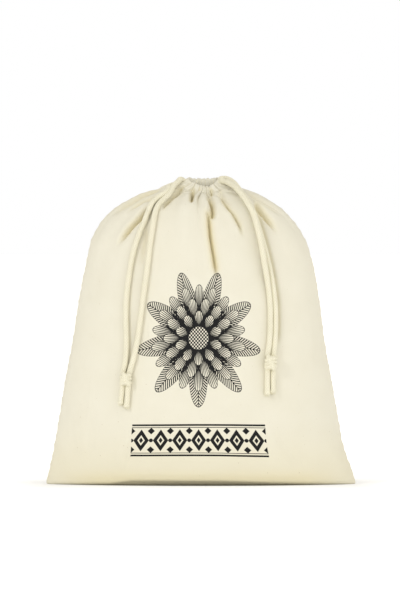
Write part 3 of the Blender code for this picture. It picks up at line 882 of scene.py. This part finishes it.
knotForm = {
    # the cord's radius as a share of the knot's
    "band": 0.36,
    # three wraps: height as a share of half the knot's, and tilt
    "wraps": [(0.42, 0.30), (-0.10, 0.34), (-0.55, 0.22)],
    # the stretch that crosses over them
    "crossing": [
        (-0.55, -0.30, 0.95), (-0.30, -0.72, 0.55), (0.05, -0.86, 0.05), (0.42, -0.66, -0.50),
        (0.62, -0.2, -0.92),
    ],
    "core": (0.62, (-0.9, -0.3, 0.3, 0.9)),
}

# yarn ends that stand out of a tail's cut
yarnEnds = {
    "count": 40,
    "splay": 0.30,
    "length": (1.6, 2.9),
    "radii": (0.42, 0.16),
    "rootSpread": 2.2,
    "rootDepth": 1.1,
}

clothTrees = [
    BVHTree.FromPolygons([v.co / mm for v in panel.data.vertices], [p.vertices for p in panel.data.polygons])
    for panel in (frontPanel, backPanel)
]


def nearestCloth(point):
    hits = [tree.find_nearest(point) for tree in clothTrees]
    place, _, _, distance = min(hits, key=lambda hit: hit[3])
    return place, distance


def settle(x, z, clearance):
    point = Vector((x, -200, z))
    for _ in range(80):
        spare = nearestCloth(point)[1] - clearance
        if spare < 0.01:
            break
        point.y += spare
    return point


def runAlong(points):
    return np.concatenate([[0.0], np.cumsum(np.linalg.norm(np.diff(points, axis=0), axis=1))])


def smoothRoute(points, step):
    points = np.array([tuple(p) for p in points])
    along = runAlong(points)
    slopes = np.gradient(points, along, axis=0)
    places = np.linspace(0, along[-1], max(2, round(along[-1] / step)) + 1)
    return np.stack([readCurve(along, points[:, i], slopes[:, i], places) for i in range(3)], axis=-1)


def easeOffCloth(route, clearance):
    route = [Vector(p) for p in route]
    for _ in range(3):
        middles = [(a + b) / 2 for a, b in zip(route, route[2:])]
        route[1:-1] = [point.lerp(middle, 0.3) for point, middle in zip(route[1:-1], middles)]
    for _ in range(12):
        for point in route:
            place, distance = nearestCloth(point)
            if distance < clearance:
                point += (point - place).normalized() * (clearance - distance)
    return route


# A braided tube along a route. Its UV map holds turns round the cord and millimetres along it.
def makeCord(name, route, radius, closed=False, end=None, spin=0.0):
    centres = smoothRoute(route, cordForm["ringStep"])
    along = runAlong(centres)
    ahead = np.gradient(centres, axis=0)
    if closed:
        ahead[0] = ahead[-1] = centres[1] - centres[-2]
    ahead /= np.linalg.norm(ahead, axis=1, keepdims=True)
    side = np.empty_like(centres)
    first = np.cross(ahead[0], (0.0, 0.0, 1.0) if abs(ahead[0][2]) < 0.9 else (0.0, 1.0, 0.0))
    side[0] = first / np.linalg.norm(first)
    for i in range(1, len(centres)):
        turned = side[i - 1] - ahead[i] * (side[i - 1] @ ahead[i])
        side[i] = turned / np.linalg.norm(turned)
    if closed:
        # spread the leftover twist of the frame round the loop, so that it closes
        other = np.cross(ahead[0], side[0])
        leftover = math.atan2(side[-1] @ other, side[-1] @ side[0])
        turns = -leftover * along / along[-1]
        lift = np.cross(ahead, side)
        side = side * np.cos(turns)[:, None] + lift * np.sin(turns)[:, None]
    up = np.cross(ahead, side)
    thin = np.ones(len(centres))
    if end:
        begun = [(place, share) for place, share in reversed(cordForm["plainEnd"])]
        ended = [(along[-1] - place, share) for place, share in cordForm[end]]
        thin = np.interp(along, *zip(*begun + ended))
    last = len(centres) - 1

    def placeOf(around, row):
        index = np.rint((row + 1) / 2 * last).astype(int)
        turn = (around + 1) * math.pi
        lay = 2 * math.pi * along[index] / cordForm["layLength"]
        if closed:
            lay = 2 * math.pi * np.round(along[-1] / cordForm["layLength"]) * along[index] / along[-1]
        rise = np.maximum(
            np.sin(cordForm["strands"] * turn + cordForm["strands"] * lay + spin),
            np.sin(cordForm["strands"] * turn - cordForm["strands"] * lay + spin),
        )
        reach = (radius + cordForm["relief"] * (rise - 0.4)) * thin[index]
        return (
            centres[index]
            + side[index] * (reach * np.cos(turn))[:, None]
            + up[index] * (reach * np.sin(turn))[:, None]
        )

    made, _ = shapedGrid(name, cordForm["sides"], last, placeOf)
    layer = made.data.uv_layers["flat"]
    spots = np.empty(len(layer.data) * 2)
    layer.data.foreach_get("uv", spots)
    spots[1::2] *= along[-1] / 100
    layer.data.foreach_set("uv", spots)
    closeUp(made)
    return made, centres, along[-1]


cordLook = {
    "colour": (0.880, 0.840, 0.670, 1),
    # the darker colour, for fuzz and mottle and for the shade painted into the braid's grooves
    "shade": (0.730, 0.685, 0.500, 1),
    "plies": 7,
    "fixed": {"Roughness": 0.88, "Sheen Weight": 0.2, "Sheen Roughness": 0.5, "Specular IOR Level": 0.25},
}


def cordSurface():
    made, tree, shader = newMaterial("cordCotton", cordLook["fixed"])
    uv = addNode(tree, "ShaderNodeUVMap", {"uv_map": "flat"})
    turn = splitPlace(tree, uv, "X") * (2 * math.pi)
    along = splitPlace(tree, uv, "Y") * (100 * 2 * math.pi / cordForm["layLength"])
    count = cordForm["strands"]
    one, two = ((turn + along) * count).sine(), ((turn - along) * count).sine()
    # the grooves between the strands: sunk in the bump, and darker in the colour as painted shade
    grooveDepthAndShade = one.most(two).ramp(0.35, -0.55)
    # plies run along whichever strand lies on top
    top = (one - two).ramp(-0.05, 0.05)
    count *= cordLook["plies"]
    plies = ((turn + along) * count).sine() * (1 - top) + ((turn - along) * count).sine() * top
    place = addNode(tree, "ShaderNodeTexCoord", {}, {}, "Object")
    fuzz = noiseOf(tree, place, 2600, 2.0)
    mottle = noiseOf(tree, place, 90, 2.0)
    # the grooves' painted shade darkens the colour, with fuzz, mottle and plies
    tone = grooveDepthAndShade * 0.55 + (fuzz - 0.5) * 0.4 + (mottle - 0.5) * 0.5 + plies * 0.08 + 0.12
    colour = blendColours(tree, tone, cordLook["colour"], cordLook["shade"])
    tree.links.new(colour.socket, shader.inputs["Base Color"])
    height = plies * 0.14 + (fuzz - 0.5) * 0.5 - grooveDepthAndShade * 0.4
    bump = addNode(tree, "ShaderNodeBump", {}, {"Strength": 0.6, "Distance": 0.0004, "Height": height})
    tree.links.new(bump.socket, shader.inputs["Normal"])
    return made


cordCotton = cordSurface()
cordRadius = cordForm["diameter"] / 2
cordClearance = cordRadius + cordForm["seat"]
cordPieces, cordPaths = {}, {}
for name, strand in strandRoutes.items():
    route = [Vector(p) for p in strand["arch"]]
    route += [settle(x, z, cordClearance + lift) for x, z, lift in strand["drape"]]
    route.append(route[-1] + (route[-1] - route[-2]).normalized() * cordForm["tucked"])
    route = easeOffCloth(smoothRoute(route, 4.0), cordClearance)
    piece, centres, length = makeCord(name, route, cordRadius - 0.1, end="plainEnd")
    piece.data.materials.append(cordCotton)
    cordPieces[name], cordPaths[name] = piece, (centres, length)
print("drawstrings:", ", ".join(f"{name} {length:.0f} mm" for name, (_, length) in cordPaths.items()))


def joinParts(piece, others):
    dropSelection()
    for part in [*others, piece]:
        part.select_set(True)
    bpy.context.view_layer.objects.active = piece
    bpy.ops.object.join()


def makeTail(name, tail):
    start, end = Vector(tail["start"]), Vector(tail["end"])
    start += (start - end).normalized() * cordForm["tucked"]
    line = [start.lerp(end, step / 5) for step in range(6)]
    route = easeOffCloth([settle(x, z, cordClearance) for x, z in line], cordClearance)
    piece, centres, _ = makeCord(name, route, cordRadius - 0.1, end="cutEnd")
    draws = random.Random(name)
    tip, way = Vector(centres[-1]), Vector(centres[-1] - centres[-3]).normalized()
    yarns = []
    for _ in range(yarnEnds["count"]):
        spread = Vector([draws.uniform(-1, 1) for _ in range(3)])
        spread -= way * spread.dot(way)
        heading = (way + spread * yarnEnds["splay"]).normalized()
        size = draws.uniform(*yarnEnds["length"])
        root = tip + spread * yarnEnds["rootSpread"] - way * yarnEnds["rootDepth"]
        dropSelection()
        bpy.ops.mesh.primitive_cone_add(
            vertices=5, radius1=yarnEnds["radii"][0] * mm, radius2=yarnEnds["radii"][1] * mm, depth=size * mm,
            location=(root + heading * size / 2) * mm, rotation=heading.to_track_quat("Z", "Y").to_euler(),
        )
        yarn = bpy.context.object
        yarn.data.shade_smooth()
        layer = yarn.data.uv_layers[0]
        layer.name = "flat"
        # one spot of the braid's map, so that the yarn keeps one even colour
        layer.data.foreach_set("uv", [0.04] * (2 * len(layer.data)))
        yarns.append(yarn)
    joinParts(piece, yarns)
    piece.data.materials.append(cordCotton)
    return piece


def makeKnot(name, knot):
    centre = settle(*knot["place"], knot["radius"] + cordForm["seat"])
    radius, half = knot["radius"], knot["height"] / 2
    band = radius * knotForm["band"]
    swing = radius - band
    parts = []
    for order, (height, tilt) in enumerate(knotForm["wraps"]):
        loop = []
        for turn in np.linspace(0, 2 * math.pi, 25):
            rise = half * height + tilt * swing * math.cos(turn + 0.6 * order)
            loop.append(centre + Vector((swing * math.cos(turn), swing * math.sin(turn), rise)))
        parts.append(makeCord(f"{name}Wrap{order}", loop, band, closed=True, spin=order)[0])
    over = radius * 0.9
    route = [centre + Vector((x * over, y * over, z * half)) for x, y, z in knotForm["crossing"]]
    parts.append(makeCord(f"{name}Crossing", route, band * 0.95, end="plainEnd")[0])
    share, heights = knotForm["core"]
    core = [centre + Vector((0, 0, z * half)) for z in heights]
    parts.append(makeCord(f"{name}Core", core, radius * share, end="plainEnd")[0])
    made = parts[0]
    joinParts(made, parts[1:])
    made.name = name
    made.data.name = name
    made.data.materials.append(cordCotton)
    return made


tailPieces = {name: makeTail(name, tail) for name, tail in tails.items()}
knotPieces = {name: makeKnot(name, knot) for name, knot in knots.items()}
print("knots and tails:", len(knotPieces), "and", len(tailPieces))

thicken(frontPanel, clothPrinted, clothPlain)
thicken(backPanel, clothPlain, clothPlain)

for piece, node in ((frontPanel, "front_panel"), (backPanel, "back_panel")):
    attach(piece, "root")
    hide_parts(node)

for group in (strandRoutes, tails, knots):
    for name, facts in group.items():
        piece = bpy.data.objects[name]
        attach(piece, "root")
        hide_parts(facts["node"])

for name, (centres, length) in cordPaths.items():
    centres[0] * mm
    length * mm
    centres * mm
